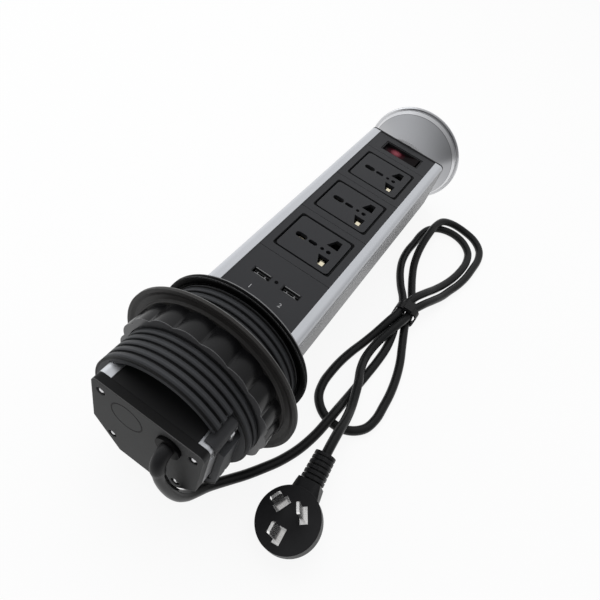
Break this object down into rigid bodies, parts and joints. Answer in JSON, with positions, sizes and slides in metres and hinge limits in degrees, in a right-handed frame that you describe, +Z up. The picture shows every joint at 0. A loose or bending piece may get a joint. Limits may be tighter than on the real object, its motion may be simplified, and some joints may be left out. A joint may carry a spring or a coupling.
{
  "type": "pop up desk socket",
  "caption": "Pop-up desk socket: D-section tower with multi-standard outlets, USB ports and a rocker switch, sliding in a threaded desk collar, with a tied mains cord and plug.",
  "frame": {"origin": "on the floor under the middle of the tower and its collar, cord left out, with the tower on its back", "axes": "+Z up, +Y along the floor from the foot to the cap, +X to the right of the panel, seen from above with the cap far away"},
  "size_m": [0.1544, 0.3484, 0.1106],
  "materials": {
    "silver_rail": "satin anodised",
    "silver_cap": "satin",
    "charcoal_panel": "fine matt",
    "black_plate": "matt",
    "grey_foot": "matt",
    "red_rocker": "glossy",
    "bright_steel": "bright",
    "brass_contact": "plain",
    "dark_tongue": "plain",
    "lamp_lens": "clear",
    "green_board": "plain",
    "dark_coil": "plain",
    "ivory_block": "plain",
    "brown_wire": "plain",
    "blue_wire": "plain",
    "green_wire": "plain",
    "black_collar": "soft gloss",
    "grey_washer": "matt",
    "black_cord": "soft sheen",
    "black_moulding": "soft sheen",
    "black_tie": "plain",
    "nickel_blade": "bright nickel"
  },
  "bodies": {
    "tower": {"tower_shell": "silver_rail", "top_plate": "black_plate", "cap": "silver_cap", "cap_screws": "bright_steel", "top_screws": "bright_steel", "switch_plate": "charcoal_panel", "switch_body": "black_plate", "socket_plate_1": "charcoal_panel", "socket_plate_2": "charcoal_panel", "socket_plate_3": "charcoal_panel", "socket_insert_1": "charcoal_panel", "socket_insert_2": "charcoal_panel", "socket_insert_3": "charcoal_panel", "live_busbar": "brass_contact", "neutral_busbar": "brass_contact", "earth_busbar": "brass_contact", "usb_plate": "charcoal_panel", "usb_shells": "bright_steel", "usb_tongues": "dark_tongue", "indicator_lens": "lamp_lens", "charger_board": "green_board", "charger_coil": "dark_coil", "terminal_block": "ivory_block", "live_wire": "brown_wire", "neutral_wire": "blue_wire", "earth_wire": "green_wire", "foot_cap": "grey_foot", "foot_screws": "bright_steel", "knockout_disc": "grey_foot", "cord_gland": "black_moulding", "strain_relief": "black_moulding", "leaf_root": "bright_steel", "leaf_rivet": "bright_steel", "cord_lead": "black_cord", "cord_hank": "black_cord", "cord_tail": "black_cord", "cable_tie": "black_tie", "plug_body": "black_moulding", "plug_boot": "black_moulding", "plug_pins": "nickel_blade", "plug_earth_pin": "nickel_blade"},
    "collar": {"bezel": "black_collar", "threaded_sleeve": "black_collar"},
    "washer": {"clamp_washer": "grey_washer"},
    "nut": {"clamp_nut": "black_collar"},
    "rocker": {"rocker": "red_rocker"},
    "leaf": {"detent_leaf": "bright_steel"}
  },
  "joints": [
    {"name": "collar_slide", "type": "slide", "parent": "tower", "child": "collar", "axis": [0, 0.9986, -0.0531], "range_m": [0, 0.26]},
    {"name": "washer_slide", "type": "slide", "parent": "collar", "child": "washer", "axis": [0, 0.9986, -0.0531], "range_m": [-0.02, 0.018]},
    {"name": "nut_turn", "type": "hinge", "parent": "washer", "child": "nut", "pos_m": [0, -0.12617, 0.05574], "axis": [0, 0.9986, -0.0531], "range_deg": [-1650, 1490]},
    {"name": "rocker_tilt", "type": "hinge", "parent": "tower", "child": "rocker", "pos_m": [0.00075, 0.11647, 0.06135], "axis": [0, 0.9986, -0.0531], "range_deg": [0, 10]},
    {"name": "leaf_press", "type": "hinge", "parent": "tower", "child": "leaf", "pos_m": [0.03175, -0.15567, 0.07533], "axis": [0, 0.0531, 0.9986], "range_deg": [0, 7], "stiffness_Nm_per_rad": 0.05}
  ],
  "couplings": [
    {"joint": "nut_turn", "follows": "washer_slide", "rad_per_m": 1436.2}
  ]
}
